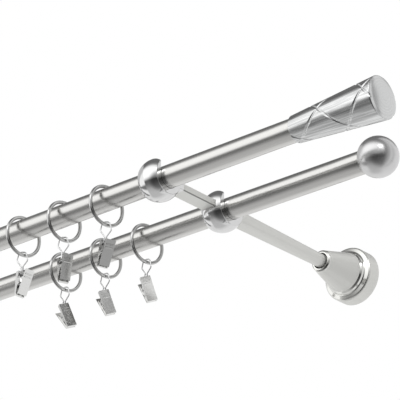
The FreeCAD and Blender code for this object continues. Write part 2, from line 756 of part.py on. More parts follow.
def back_face():
    """Distance of the back jaw's outside behind the pin, square to that jaw."""
    lean = sized("jaw_open")
    return (sized("mouth_depth") - sized("pin_back") + sized("jaw_lower") * sine(lean)) / cosine(lean)


def front_jaw(label, place):
    """Folded sheet: face with two ribs, a fold at the top, side folds with ears, and a bottom lip."""
    sheet_thick = sized("sheet_thick")
    length = sized("clip_length")
    ear_back = sized("pin_back") + sized("ear_round")
    ear_high = sized("pin_drop") - sized("ear_round")
    ear_low = sized("pin_drop") + sized("ear_round")
    slope = sized("ear_round") * 1.5
    body = new_body(label)
    extruded(body, "Pad", label + "_blank", "YZ_Plane", (
        (0, 0), (0, -length), (sized("lip_fold"), -length), (sized("side_fold") * 0.8, -length + slope),
        (sized("side_fold"), -ear_low - slope), (ear_back, -ear_low), (ear_back, -ear_high),
        (sized("side_fold"), -ear_high + slope), (sized("top_fold"), -sheet_thick * 2),
        (sized("top_fold"), 0),
    ), sized("clip_width"))
    extruded(body, "Pocket", label + "_inside", "YZ_Plane", (
        (sheet_thick, -sheet_thick), (sheet_thick, -length + sheet_thick),
        (ear_back * 2, -length + sheet_thick), (ear_back * 2, -sheet_thick),
    ), sized("clip_width") - sheet_thick * 2)
    ribs(body, label, 0, -1, 0)
    bored(body, label + "_pin_hole", "YZ_Plane", sized("pin_dia") / 2 + sized("pin_play"),
          sized("pin_back"), -sized("pin_drop"), sized("clip_width") * 2)
    slot_half = sized("leg_slot_length") / 2
    slot_front = sized("leg_back") - sized("leg_slot_width") / 2
    slot_back = sized("leg_back") + sized("leg_slot_width") / 2
    extruded(body, "Pocket", label + "_leg_slot", "XY_Plane", (
        (-slot_half, slot_front), (slot_half, slot_front), (slot_half, slot_back), (-slot_half, slot_back),
    ), sheet_thick * 3)
    body.Placement = place
    keep(body, label)


def back_jaw(label, place):
    """Folded sheet behind the front jaw, with ribs, a lip, and ears inside the front jaw's ears."""
    sheet_thick = sized("sheet_thick")
    lean = sized("jaw_open")
    lower = sized("jaw_lower")
    upper = sized("jaw_upper")
    outer = back_face()
    inner = outer - sheet_thick
    side = outer - sized("jaw_side")
    lip = outer - sized("lip_fold")
    ear = sized("ear_round")
    slope = ear * 1.5
    width = sized("clip_width") - sheet_thick * 2 - sized("ear_play") * 2
    body = new_body(label)
    extruded(body, "Pad", label + "_blank", "YZ_Plane", (
        (outer, upper), (outer, -lower), (lip, -lower), (side, -lower + slope), (side, -ear - slope),
        (-ear, -ear), (-ear, ear), (side, ear + slope), (inner, upper * 0.8), (inner, upper),
    ), width)
    extruded(body, "Pocket", label + "_inside", "YZ_Plane", (
        (inner, upper + sheet_thick), (inner, -lower + sheet_thick), (-ear * 3, -lower + sheet_thick),
        (-ear * 3, upper + sheet_thick),
    ), width - sheet_thick * 2)
    extruded(body, "Pad", label + "_face", "YZ_Plane", (
        (outer, upper), (outer, -lower), (inner, -lower), (inner, upper),
    ), sized("clip_width"))
    ribs(body, label, outer, 1, upper)
    bored(body, label + "_pin_hole", "YZ_Plane", sized("pin_dia") / 2 + sized("pin_play"), 0, 0, width * 2)
    pin = Placement(Vector(0, sized("pin_back").value, -sized("pin_drop").value),
                    Rotation(Vector(1, 0, 0), -lean.value))
    body.Placement = place.multiply(pin)
    keep(body, label)


def clip_pin(label, place):
    """Pin with two flat heads outside the front jaw's ears."""
    half = sized("clip_width") / 2 + sized("pin_play")
    head = sized("pin_head") / 2
    radius = sized("pin_dia") / 2
    thick = sized("pin_dia") / 4
    body = turned(label, (
        (-half - thick, 0), (-half - thick, head), (-half, head), (-half, radius),
        (half, radius), (half, head), (half + thick, head), (half + thick, 0),
    ), "H_Axis")
    centre = Placement(Vector(0, sized("pin_back").value, -sized("pin_drop").value), Rotation())
    body.Placement = place.multiply(centre)
    keep(body, label)


def clip_spring(label, place):
    """Coil on the pin, with one leg against each jaw."""
    wire = sized("spring_wire").value
    outer = sized("spring_dia").value / 2
    half = wire * sized("spring_turns").value / 2
    side = half - wire * 0.6
    leg = sized("jaw_upper").value * 0.6
    lean = math.radians(sized("jaw_open").value)
    inner = (back_face() - sized("sheet_thick")).value
    front_face = sized("sheet_thick").value - sized("pin_back").value
    back_way = Vector(0, math.sin(lean), math.cos(lean))
    back_square = Vector(0, math.cos(lean), -math.sin(lean))
    runs = (
        (Vector(side, 0, 0), Vector(side, front_face + wire / 2, 0), Vector(0, 0, 1)),
        (Vector(-side, 0, 0), Vector(-side, 0, 0) + back_square * (inner - wire / 2), back_way),
    )
    whole = Part.makeCylinder(outer, half * 2, Vector(-half, 0, 0), Vector(1, 0, 0))
    for middle, corner, way in runs:
        bend = Part.makeCylinder(wire / 2, (corner - middle).Length, middle, corner - middle)
        knee = Part.makeSphere(wire / 2, corner)
        rest = Part.makeCylinder(wire / 2, leg, corner, way)
        whole = whole.fuse([bend, knee, rest])
    bore = Part.makeCylinder(outer - wire, half * 4, Vector(-half * 2, 0, 0), Vector(1, 0, 0))
    item = doc.addObject("Part::Feature", label)
    item.Shape = whole.cut(bore)
    centre = Placement(Vector(0, sized("pin_back").value, -sized("pin_drop").value), Rotation())
    item.Placement = place.multiply(centre)
    keep(item, label)


pole("front_pole", FRONT_Y)
pole("rear_pole", REAR_Y)
for side, bracket_x in (("right", ZERO), ("left", LEFT_BRACKET_X)):
    cup(side, "front_cup", bracket_x, FRONT_Y, True)
    cup(side, "rear_cup", bracket_x, REAR_Y, False)
    front_arm(side, bracket_x)
    rear_arm(side, bracket_x)
    rose(side, bracket_x)
    wall_plate(side, bracket_x)
    arm_bolt(side, bracket_x)
    grub_screw(side, bracket_x)
for side, end_x, angle in (("right", RIGHT_END_X, 0), ("left", LEFT_END_X, 180)):
    turn = Rotation(Vector(0, 0, 1), angle)
    cone_finial(side + "_cone_finial", end_x, turn)
    ball_finial(side + "_ball_finial", end_x, turn)
for row, y, start in (("front", FRONT_Y, "front_ring_start"), ("rear", REAR_Y, "rear_ring_start")):
    for number, hanging in enumerate(HANGING[row], 1):
        ring_x = -sized(start) - sized("ring_pitch") * (number - 1)
        place = clip_place(ring_x, y, hanging)
        tail = "_%s_%d" % (row, number)
        ring("ring" + tail, ring_x, y)
        hanger("hanger" + tail, ring_x, y, hanging)
        front_jaw("front_jaw" + tail, place)
        back_jaw("back_jaw" + tail, place)
        clip_pin("clip_pin" + tail, place)
        clip_spring("clip_spring" + tail, place)

doc.recompute()
failed = [item.Label for item in doc.Objects if "Invalid" in item.State or "Error" in item.State]
if failed:
    raise RuntimeError("These objects failed: %s" % failed)
for item in subparts:
    if item.Shape.isNull() or not item.Shape.isValid() or not item.Shape.Solids:
        raise RuntimeError("%s has no valid solid" % item.Label)

os.makedirs("parts", exist_ok=True)
for item in subparts:
    item.Shape.exportStep("parts/%s.step" % item.Label)
print("%d sub-parts written" % len(subparts))
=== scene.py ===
import json
import math

import bmesh
import bpy
import numpy as np
from bpy.props import FloatProperty, FloatVectorProperty, IntProperty, PointerProperty
from mathutils import Matrix, Vector


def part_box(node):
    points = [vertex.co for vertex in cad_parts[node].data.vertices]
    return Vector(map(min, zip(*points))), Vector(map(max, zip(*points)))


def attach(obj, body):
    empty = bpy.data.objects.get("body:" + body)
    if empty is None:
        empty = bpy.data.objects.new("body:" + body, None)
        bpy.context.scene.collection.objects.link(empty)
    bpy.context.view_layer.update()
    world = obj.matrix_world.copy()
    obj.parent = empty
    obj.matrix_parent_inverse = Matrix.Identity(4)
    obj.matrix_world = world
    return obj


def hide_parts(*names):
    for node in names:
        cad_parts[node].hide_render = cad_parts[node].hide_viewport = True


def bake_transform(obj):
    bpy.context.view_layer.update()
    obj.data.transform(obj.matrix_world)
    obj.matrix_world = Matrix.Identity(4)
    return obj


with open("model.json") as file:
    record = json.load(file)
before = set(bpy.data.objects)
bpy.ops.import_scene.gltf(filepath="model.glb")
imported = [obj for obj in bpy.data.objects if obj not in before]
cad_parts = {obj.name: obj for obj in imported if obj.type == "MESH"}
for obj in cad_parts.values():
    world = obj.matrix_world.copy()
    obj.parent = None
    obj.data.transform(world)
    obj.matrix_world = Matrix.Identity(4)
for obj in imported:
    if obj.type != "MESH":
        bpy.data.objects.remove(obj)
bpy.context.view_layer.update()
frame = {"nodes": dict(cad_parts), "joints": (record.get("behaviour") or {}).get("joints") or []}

bl_info = {
    "name": "Double curtain pole",
    "version": (1, 0, 0),
    "blender": (4, 5, 0),
    "location": "3D View > Sidebar > Curtain pole",
    "description": "Dresses a double curtain pole with its metal finishes and a studio",
    "category": "Object",
}

# Everything is in metres, in the frame of the part: X along the poles, +Y into the wall, +Z up
MM = 0.001
SIDES = ("right", "left")
SETS = tuple("%s_%d" % (row, number) for row in ("front", "rear") for number in (1, 2, 3))

# How each clip hangs, in degrees: turn of its front about the upright, roll and lean
CLIP_HANGING = {
    "front_1": (202, 3, -4), "front_2": (203, 1, 13), "front_3": (188, 4, 3),
    "rear_1": (37, 19, 2), "rear_2": (32, 19.4, -3), "rear_3": (26, 20, -9.4),
}


def joint(name):
    """One joint of the part by its name."""
    return next(entry for entry in frame["joints"] if entry["name"] == name)


def middle_of(node):
    """Middle of the box that a node fills, as an array."""
    low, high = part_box(node)
    return (np.array(low) + np.array(high)) / 2


# Sizes and colours that a user would change

def colour_setting(name, description, default):
    """A colour that a user can change."""
    return FloatVectorProperty(name=name, description=description, size=3, default=default,
                               subtype="COLOR")


def millimetres(name, description, default):
    """A length in millimetres that a user can change."""
    return FloatProperty(name=name, description=description, default=default)


class StudioSettings(bpy.types.PropertyGroup):
    """The floor, the lamps and the room's light."""
    floor_drop: FloatProperty(name="Floor drop", description="Floor below the poles", default=3.2,
                              unit="LENGTH")
    key_power: FloatProperty(name="Key power", description="Power of the large lamp overhead",
                             default=14.0, subtype="POWER")
    fill_power: FloatProperty(name="Fill power", description="Power of the lamp on the left",
                              default=5.0, subtype="POWER")
    world_level: FloatProperty(name="World level", description="Brightness of the room on the object",
                               default=0.85, min=0.0)


class FinishSettings(bpy.types.PropertyGroup):
    """Colours of the metals."""
    tube_colour: colour_setting("Tube", "Satin steel of the poles", (0.60, 0.595, 0.58))
    arm_colour: colour_setting("Arm", "Satin plate of the arms", (0.69, 0.69, 0.665))
    cup_colour: colour_setting("Cup", "Polished plate of the cups", (0.65, 0.65, 0.65))
    rose_colour: colour_setting("Rose", "Turned metal of the roses", (0.69, 0.69, 0.665))
    cone_colour: colour_setting("Cone finial", "Pale metal of the grooved cones", (0.66, 0.665, 0.665))
    ball_colour: colour_setting("Ball finial", "Satin metal of the balls", (0.62, 0.62, 0.62))
    ring_colour: colour_setting("Ring", "Nickel of the rings", (0.52, 0.52, 0.515))
    wire_colour: colour_setting("Wire", "Nickel of the hangers and pins", (0.62, 0.62, 0.62))
    clip_colour: colour_setting("Clip", "Plated sheet of the clips", (0.71, 0.71, 0.70))
    spring_colour: colour_setting("Spring", "Steel of the springs", (0.4, 0.4, 0.42))
    zinc_colour: colour_setting("Zinc", "Plate and bolt behind the rose", (0.55, 0.56, 0.58))
    screw_colour: colour_setting("Grub screw", "Black screw in the rose", (0.05, 0.05, 0.05))


class SpringSettings(bpy.types.PropertyGroup):
    """Sizes of the clips' springs."""
    wire: FloatProperty(name="Wire", description="Diameter of the spring wire", default=0.5 * MM,
                        unit="LENGTH")
    coil: FloatProperty(name="Coil", description="Outside diameter of the coil", default=3.2 * MM,
                        unit="LENGTH")
    leg: FloatProperty(name="Leg", description="Height of the spring's legs", default=5.2 * MM,
                       unit="LENGTH")
    turns: IntProperty(name="Turns", description="Turns of the coil", default=5, min=1)


class PoleSizes(bpy.types.PropertyGroup):
    """Sizes in millimetres, the same as those of the solids."""
    diameter: millimetres("Diameter", "Outside of both poles", 16.0)
    wall: millimetres("Wall", "Wall of the tubes", 1.0)
    length: millimetres("Length", "Length of each pole", 1000.0)
    overhang: millimetres("Overhang", "Pole end beyond its bracket", 123.0)


class ConeSizes(bpy.types.PropertyGroup):
    """Sizes in millimetres: those of the solids, and of the grooves, which the solids don't have."""
    cap: millimetres("Cap", "Length over the pole", 6.0)
    length: millimetres("Length", "Length without the domed end", 67.5)
    small: millimetres("Small end", "Diameter at the pole", 18.6)
    large: millimetres("Large end", "Diameter at the far end", 29.0)
    dome: millimetres("Dome", "Height of the domed end", 1.6)
    edge: millimetres("Edge", "Rounding of the far edge", 0.8)
    play: millimetres("Play", "Gap between the cone and the pole in it", 0.1)
    groove_lead: millimetres("Groove lead", "Length of one turn of a groove", 74.0)
    groove_start: millimetres("Groove start", "Pole's end to the first crossing", 18.5)
    groove_turn: FloatProperty(name="Groove turn", description="Crossings above the front, in degrees",
                               default=12.0)
    groove_width: millimetres("Groove width", "Width of the grooves", 1.7)
    groove_depth: millimetres("Groove depth", "Depth of the grooves", 0.45)


class RingSizes(bpy.types.PropertyGroup):
    """Sizes in millimetres, the same as those of the solids but for the rounding of the edges."""
    bore: millimetres("Bore", "Inside diameter", 26.0)
    height: millimetres("Bar height", "Bar from the bore to the outside", 2.4)
    width: millimetres("Bar width", "Bar along the pole", 2.1)
    corner: millimetres("Bar rounding", "Rounding of the bar's outer edges", 1.0)
    inner_corner: millimetres("Bore rounding", "Rounding of the bar's inner edges", 0.6)
    turn: FloatProperty(name="Turn", description="Turn of a hanging ring about the upright, in degrees",
                        default=7.0)


# Materials. Scales of noise are in cycles for each metre

FINE_LINES = 900.0
LATHE_MARKS = 2500.0
BUMP_HEIGHT = 0.1 * MM


class Wire:
    """A socket of a material, on which arithmetic adds Math nodes."""

    def __init__(self, finish, socket):
        self.finish = finish
        self.socket = socket

    def math(self, operation, *numbers):
        return self.finish.node("ShaderNodeMath", {"operation": operation}, dict(enumerate(numbers)))

    def __add__(self, other):
        return self.math("ADD", self, other)

    def __radd__(self, other):
        return self.math("ADD", other, self)

    def __sub__(self, other):
        return self.math("SUBTRACT", self, other)

    def __rsub__(self, other):
        return self.math("SUBTRACT", other, self)

    def __mul__(self, other):
        return self.math("MULTIPLY", self, other)

    def __truediv__(self, other):
        return self.math("DIVIDE", self, other)

    def root_with(self, other):
        """Length of the diagonal of this value and another."""
        return self.math("SQRT", self * self + other * other)

    def size(self):
        """The value without its sign."""
        return self.math("ABSOLUTE", self)

    def angle_from(self, other):
        """Angle of the point (other, this value) round zero, in radians."""
        return self.math("ARCTAN2", self, other)

    def step(self, low, high):
        """0 below low, 1 above high and a smooth ramp between them."""
        return self.finish.node("ShaderNodeMapRange", {"interpolation_type": "SMOOTHSTEP"},
                                {"Value": self, "From Min": low, "From Max": high})


class Finish:
    """The nodes of one material, or of a world, under construction."""

    def __init__(self, owner):
        self.owner = owner
        owner.use_nodes = True
        self.tree = owner.node_tree
        self.tree.nodes.clear()

    def node(self, kind, settings=None, values=None, output=0):
        """Add a node with its settings first, then the values or links of its sockets."""
        node = self.tree.nodes.new(kind)
        for key, setting in (settings or {}).items():
            if key == "stops":
                fill_ramp(node.color_ramp, setting)
            else:
                setattr(node, key, setting)
        for key, value in (values or {}).items():
            if isinstance(value, Wire):
                self.tree.links.new(value.socket, node.inputs[key])
            else:
                node.inputs[key].default_value = value
        return Wire(self, node.outputs[output]) if len(node.outputs) else None

    def place(self):
        """The point of the object that is being shaded, in the frame of the part."""
        return self.node("ShaderNodeTexCoord", output="Object")

    def parts(self, vector):
        """The three numbers of a vector."""
        split = self.node("ShaderNodeSeparateXYZ", values={0: vector})
        outputs = split.socket.node.outputs
        return [Wire(self, outputs[axis]) for axis in "XYZ"]

    def vector(self, x, y, z):
        return self.node("ShaderNodeCombineXYZ", values={0: x, 1: y, 2: z})

    def noise(self, vector, scale, detail):
        return self.node("ShaderNodeTexNoise",
                         values={"Vector": vector, "Scale": scale, "Detail": detail})

    def grain(self, numbers, scales, detail):
        """Noise of three numbers, each with a scale of its own."""
        stretched = [number * scale for number, scale in zip(numbers, scales)]
        return self.noise(self.vector(*stretched), 1.0, detail)

    def ramp(self, place, stops):
        """Grey that a ramp has at a place."""
        return self.node("ShaderNodeValToRGB", {"stops": stops}, {0: place})

    def mix(self, factor, first, second):
        """Colour between two colours."""
        return self.node("ShaderNodeMix", {"data_type": "RGBA"}, {0: factor, 6: first, 7: second},
                         output=2)

    def tint(self, colour, pattern, dark, light):
        """Colour that a pattern varies from dark times to light times its brightness."""
        return self.mix(pattern, shade(colour, dark), shade(colour, light))

    def either(self, factor, first, second):
        """One shader where the factor is 0 and the other where it is 1."""
        return self.node("ShaderNodeMixShader", values={0: factor, 1: first, 2: second})

    def ray_is(self, kind):
        """1 where the ray is of one kind, such as Glossy."""
        return self.node("ShaderNodeLightPath", output="Is %s Ray" % kind)

    def metal(self, colour, roughness, normal, metallic=1.0):
        """Close the material with a metal surface."""
        surface = self.node("ShaderNodeBsdfPrincipled", values={
            "Base Color": colour, "Roughness": roughness, "Metallic": metallic, "Normal": normal})
        self.node("ShaderNodeOutputMaterial", values={"Surface": surface})
        return self.owner

    def bump(self, height, strength):
        return self.node("ShaderNodeBump", values={"Height": height, "Strength": strength,
                                                   "Distance": BUMP_HEIGHT})


def fill_ramp(ramp, stops):
    """Set the stops of a colour ramp, which are pairs of a place and a grey."""
    while len(ramp.elements) > 1:
        ramp.elements.remove(ramp.elements[-1])
    for number, (place, level) in enumerate(stops):
        element = ramp.elements[0] if number == 0 else ramp.elements.new(place)
        element.position = place
        element.color = grey(level)


def grey(level):
    return (level, level, level, 1.0)


def shade(colour, factor):
    """Colour made darker or lighter by one factor."""
    return tuple(min(1.0, part * factor) for part in colour) + (1.0,)


def uneven(roughness, lines, clouds):
    """Roughness that varies a little with fine lines and with broad clouds."""
    return roughness * 0.85 + lines * (roughness * 0.2) + clouds * (roughness * 0.1)


def drawn_metal(name, colour, roughness, scales, depth):
    """Satin metal with fine lines along X: noise that is stretched along the grain."""
    finish = Finish(bpy.data.materials.new(name))
    place = finish.parts(finish.place())
    lines = finish.grain(place, scales, 4.0)
    clouds = finish.grain(place, (12.0, 60.0, 60.0), 2.0)
    tint = finish.tint(colour, lines * 0.7 + clouds * 0.3, 0.86, 1.10)
    return finish.metal(tint, uneven(roughness, lines, clouds), finish.bump(lines, depth))


# Ramps of the painted shade on an arm, a dark line for the dark reflection of its lower right edge: how
# far it reaches in from the right edge and up from the lower one
EDGE_SHADE_ACROSS = (0.9 * MM, 0.4 * MM)
EDGE_SHADE_UP = (0.3 * MM, 0.8 * MM)


def arm_metal(name, colour, edge_x, edge_z):
    """Satin plate with lines along Y and painted shade, a dark line for the edge's dark reflection, along
    its lower right edge.
    """
    finish = Finish(bpy.data.materials.new(name))
    x, y, z = finish.parts(finish.place())
    lines = finish.grain((x, y, z), (FINE_LINES, 3.0, FINE_LINES), 4.0)
    near_right = x.step(edge_x - EDGE_SHADE_ACROSS[0], edge_x - EDGE_SHADE_ACROSS[1])
    near_bottom = 1.0 - z.step(edge_z + EDGE_SHADE_UP[0], edge_z + EDGE_SHADE_UP[1])
    plain = finish.tint(colour, lines, 0.93, 1.06)
    # painted shade: the lower right edge is darkened in the colour, standing in for the dark reflection
    # of that edge
    tint = finish.mix(near_right * near_bottom * 0.8, plain, shade(colour, 0.15))
    return finish.metal(tint, 0.38 + lines * 0.1, finish.bump(lines, 0.05), 0.6)


def turned_metal(name, colour, roughness, centre, axis):
    """Metal turned on a lathe: noise that depends on the height along the axis and the radius."""
    finish = Finish(bpy.data.materials.new(name))
    parts = finish.parts(finish.place())
    along = parts.pop(axis) - centre[axis]
    others = [value for number, value in enumerate(centre) if number != axis]
    radius = (parts[0] - others[0]).root_with(parts[1] - others[1])
    lines = finish.grain((along, radius, 0.0), (LATHE_MARKS, LATHE_MARKS, 1.0), 2.0)
    clouds = finish.noise(finish.place(), 70.0, 2.0)
    tint = finish.tint(colour, lines * 0.5 + clouds * 0.5, 0.94, 1.05)
    return finish.metal(tint, uneven(roughness, lines, clouds), finish.bump(lines, 0.1))


# Width of the ramp between a cone's side and its face
FACE_RAMP = 0.4 * MM


def cone_metal(name, colour, centre, end):
    """Bright metal with streaks along the cone, and circles on its face, which begins at a distance."""
    finish = Finish(bpy.data.materials.new(name))
    x, y, z = finish.parts(finish.place())
    across = y - centre[1]
    upwards = z - centre[2]
    radius = across.root_with(upwards)
    face = (x - centre[0]).size().step(end, end + FACE_RAMP)
    streaks = finish.noise(finish.vector(across / radius, upwards / radius, x * 4.0), 9.0, 3.0)
    circles = finish.grain((radius, 0.0, 0.0), (2400.0, 1.0, 1.0), 1.0) * 0.4 + 0.32
    marks = streaks * (1.0 - face) + circles * face
    lines = finish.grain((x, y, z), (3.0, FINE_LINES, FINE_LINES), 3.0)
    tint = finish.tint(colour, marks.step(0.35, 0.65) * 0.8 + lines * 0.2, 0.66, 1.10)
    rough = 0.15 + marks * 0.08
    return finish.metal(tint, rough, finish.bump(marks * 0.6 + lines * 0.4, 0.06))


# Ramps of the polish on a rose by the distance to the wall: of its rim, and at both ends of its steps
RIM_BEGINS = (41.5 * MM, 42.2 * MM)
STEPS_BEGIN = (10.8 * MM, 11.4 * MM)
STEPS_END = (15.8 * MM, 16.1 * MM)


def rose_metal(name, colour, centre):
    """Satin turned metal with a painted sheen that fans round its axis, whose rim and steps, told apart
    by the distance to the wall, are polished.
    """
    finish = Finish(bpy.data.materials.new(name))
    x, y, z = finish.parts(finish.place())
    across = x - centre[0]
    upwards = z - centre[2]
    radius = across.root_with(upwards)
    depth = (y - centre[1]) * -1.0
    polish = depth.step(*RIM_BEGINS) + (depth.step(*STEPS_BEGIN) - depth.step(*STEPS_END))
    lines = finish.grain((depth, radius, 0.0), (LATHE_MARKS, LATHE_MARKS, 1.0), 2.0)
    # painted sheen: brightness that changes with the angle round the axis, standing in for the fan of
    # light that turned marks reflect
    painted_sheen = finish.noise(finish.vector(across / radius, upwards / radius, 0.0), 3.0, 2.0)
    tint = finish.tint(colour, lines * 0.3 + painted_sheen * 0.7, 0.93, 1.07)
    rough = 0.40 + lines * 0.08 - polish * 0.34
    return finish.metal(tint, rough, finish.bump(lines, 0.05), 0.6 + polish * 0.4)


def plated_metal(name, colour, roughness, depth=0.05, waviness=900.0):
    """Bright plated metal with waves of one scale in its surface and broader wipes in its gloss."""
    finish = Finish(bpy.data.materials.new(name))
    place = finish.place()
    waves = finish.noise(place, waviness, 1.0)
    wipes = finish.noise(place, waviness / 4, 3.0)
    rough = roughness * 0.7 + wipes * (roughness * 0.6)
    return finish.metal(finish.tint(colour, wipes, 0.95, 1.04), rough, finish.bump(waves, depth))


def give(objects, material):
    for item in objects:
        item.data.materials.clear()
        item.data.materials.append(material)


def nodes_named(*names):
    return [frame["nodes"][name] for name in names]


def both(name):
    return nodes_named(*("%s_%s" % (side, name) for side in SIDES))


def every(name):
    return nodes_named(*("%s_%s" % (name, tail) for tail in SETS))


# Surfaces

# Points round each surface of revolution, and the longest sides of two outlines in millimetres
POLE_SIDES = 128
ROSE_SIDES = 180
RING_SIDES = 160
POLE_STEP = 20.0
ROSE_STEP = 2.0
# Edges that bend by more than this many degrees stay sharp, and points closer than this are one
SHARP_BEND = 40.0
SAME_POINT = 0.001 * MM


def grid_object(name, points, material, closed_along=True):
    """Smooth mesh object from a grid of points of shape (rows, columns, 3), with quads between them.

    The last column always joins the first. The last row joins the first where closed_along is True.
    """
    rows, columns = points.shape[:2]
    row, column = np.meshgrid(np.arange(rows if closed_along else rows - 1), np.arange(columns),
                              indexing="ij")
    down = (row + 1) % rows
    right = (column + 1) % columns
    quads = np.stack([row * columns + column, row * columns + right, down * columns + right,
                      down * columns + column], axis=-1).reshape(-1, 4)
    mesh = bpy.data.meshes.new(name)
    mesh.from_pydata(points.reshape(-1, 3), [], quads.tolist())
    mesh.shade_smooth()
    item = bpy.data.objects.new(name, mesh)
    bpy.context.scene.collection.objects.link(item)
    mesh.materials.append(material)
    return item


def round_profile(points, radii, steps=6):
    """Closed outline whose corners are arcs.

    At a corner with the half angle a, an arc of radius r touches both sides at r / tan(a) from the
    corner, and its centre lies at r / sin(a) along the line that halves the angle.
    """
    points = np.array(points, float)
    result = []
    for number, radius in enumerate(radii):
        corner = points[number]
        before = points[number - 1] - corner
        after = points[(number + 1) % len(points)] - corner
        before = before / np.linalg.norm(before)
        after = after / np.linalg.norm(after)
        if radius == 0:
            result.append(corner)
            continue
        half = math.acos(max(-1.0, min(1.0, before.dot(after)))) / 2
        middle = before + after
        centre = corner + middle / np.linalg.norm(middle) * radius / math.sin(half)
        first = corner + before * radius / math.tan(half) - centre
        last = corner + after * radius / math.tan(half) - centre
        sweep = math.atan2(first[0] * last[1] - first[1] * last[0], first.dot(last))
        for angle in np.linspace(0, sweep, steps + 1):
            turned = (first[0] * math.cos(angle) - first[1] * math.sin(angle),
                      first[0] * math.sin(angle) + first[1] * math.cos(angle))
            result.append(centre + turned)
    return np.array(result)


def split_long(profile, most):
    """Closed outline with extra points on its long sides, so that no side is longer than most."""
    result = []
    for number, start in enumerate(profile):
        end = profile[(number + 1) % len(profile)]
        count = max(1, math.ceil(np.linalg.norm(end - start) / most))
        result.extend(start + (end - start) * step / count for step in range(count))
    return np.array(result)


def turned_points(profile, axis, sides):
    """Points of a profile of pairs (place along the axis, radius), turned about X (0) or Y (1).

    The point at the angle t lies at radius * cos(t) across the axis and radius * sin(t) upwards.
    """
    angle = np.linspace(0, 2 * np.pi, sides, endpoint=False)
    along = np.repeat(profile[:, :1], sides, axis=1)
    across = profile[:, 1:] * np.cos(angle)
    upwards = profile[:, 1:] * np.sin(angle)
    if axis == 0:
        return np.stack([along, across, upwards], axis=-1)
    return np.stack([across, along, upwards], axis=-1)


def finish_mesh(item):
    """Merge doubled points, point the faces outwards and keep sharp edges."""
    shape = bmesh.new()
    shape.from_mesh(item.data)
    bmesh.ops.remove_doubles(shape, verts=shape.verts, dist=SAME_POINT)
    bmesh.ops.recalc_face_normals(shape, faces=shape.faces)
    shape.to_mesh(item.data)
    shape.free()
    item.data.shade_smooth()
    item.data.set_sharp_from_angle(angle=math.radians(SHARP_BEND))
    return item


def stand_in(item, node, body="bracket_and_poles"):
    """Let a piece take the place of a CAD node."""
    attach(item, body)
    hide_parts(node)


def groove_depth(along, angle, radius, sizes):
    """Depth of the crossing grooves at points of the cone, in millimetres.

    A groove is a helix of a fixed lead. Two start half a turn apart and wind one way, and two wind
    the other way. The distance round the cone to the nearest one, times the cosine of the helix's
    slope there, is the distance square to the groove. Its section is part of a circle.
    """
    half = sizes.groove_width / 2
    depth = sizes.groove_depth
    bend = (half * half + depth * depth) / (2 * depth)
    slope = np.arctan(radius * 2 * np.pi / sizes.groove_lead)
    first = np.pi - math.radians(sizes.groove_turn)
    total = np.zeros_like(along)
    for hand in (1, -1):
        helix = first + hand * 2 * np.pi * (along - sizes.groove_start) / sizes.groove_lead
        apart = (angle - helix + np.pi / 2) % np.pi - np.pi / 2
        distance = np.abs(apart) * radius * np.cos(slope)
        inside = np.sqrt(np.maximum(bend * bend - distance * distance, 0)) - (bend - depth)
        total = np.maximum(total, np.where(distance < half, inside, 0))
    return np.maximum(total, 0)


# Rounding of a cone's edge at the pole, and how far from that edge the grooves begin, in millimetres
CAP_EDGE = 0.25
GROOVES_BEGIN = 0.2
# Steps of the arcs at a cone's corners, and rows of its face
CORNER_STEPS = 5
DOME_ROWS = 14


def cone_points(sizes, sleeve, rows=250, sides=300):
    """Grid of the grooved cone in millimetres, along X from the end of its pole.

    The side runs straight from the small end to the large one, less the depth of the grooves. The face
    is part of a ball: over a rim of radius r and with the height h, the ball's radius is
    (r * r + h * h) / (2 * h).
    """
    far = sizes.length - sizes.cap
    small = sizes.small / 2
    large = sizes.large / 2
    ball = (large * large + sizes.dome * sizes.dome) / (2 * sizes.dome)
    outline = round_profile(((-sizes.cap, sleeve), (-sizes.cap, small), (far, large), (far, 0)),
                            (0, CAP_EDGE, sizes.edge, 0), CORNER_STEPS)[:-1]
    first = CORNER_STEPS + 1
    start, end = outline[first], outline[first + 1]
    side = start + (end - start) * np.linspace(0, 1, rows)[:, None]
    inner = np.linspace(outline[-1][1], 0, DOME_ROWS)[1:]
    dome = np.stack([far + np.sqrt(ball ** 2 - inner ** 2) - (ball - sizes.dome), inner], axis=1)
    profile = np.concatenate([outline[:first], side, outline[first + 2:], dome])
    angle = np.linspace(0, 2 * np.pi, sides, endpoint=False)
    along = np.repeat(profile[:, :1], sides, axis=1)
    radius = np.repeat(profile[:, 1:], sides, axis=1)
    on_cone = (along > -sizes.cap + GROOVES_BEGIN) & (along < far) & (radius > small)
    radius = radius - groove_depth(along, angle[None, :], radius, sizes) * on_cone
    return np.stack([along, radius * np.cos(angle), radius * np.sin(angle)], axis=-1)


def tube_points(path, radius, sides):
    """Circle of one radius carried along a path.

    At each point of the path the circle stands square to the path's direction. Its first spoke is the
    last one less its part along the new direction, so the tube does not twist.
    """
    ways = np.gradient(path, axis=0)
    ways /= np.linalg.norm(ways, axis=1, keepdims=True)
    spoke = np.cross(ways[0], (0.3, 0.5, 0.81))
    spokes = []
    for way in ways:
        spoke = spoke - way * spoke.dot(way)
        spoke = spoke / np.linalg.norm(spoke)
        spokes.append(spoke)
    spokes = np.array(spokes)
    seconds = np.cross(ways, spokes)
    angle = np.linspace(0, 2 * np.pi, sides, endpoint=False)[None, :, None]
    circle = spokes[:, None, :] * np.cos(angle) + seconds[:, None, :] * np.sin(angle)
    return path[:, None, :] + radius * circle


def rotation_about(axis, degrees):
    return np.array(Matrix.Rotation(math.radians(degrees), 3, Vector(axis)))


def clip_axes(tail):
    """Axes of a clip as the columns of a matrix: across, backwards and up."""
    turn, roll, lean = CLIP_HANGING[tail]
    turned = rotation_about((0, 0, 1), 90 - turn)
    rolled = rotation_about((0, -1, 0), roll)
    leant = rotation_about((1, 0, 0), lean)
    return turned @ rolled @ leant


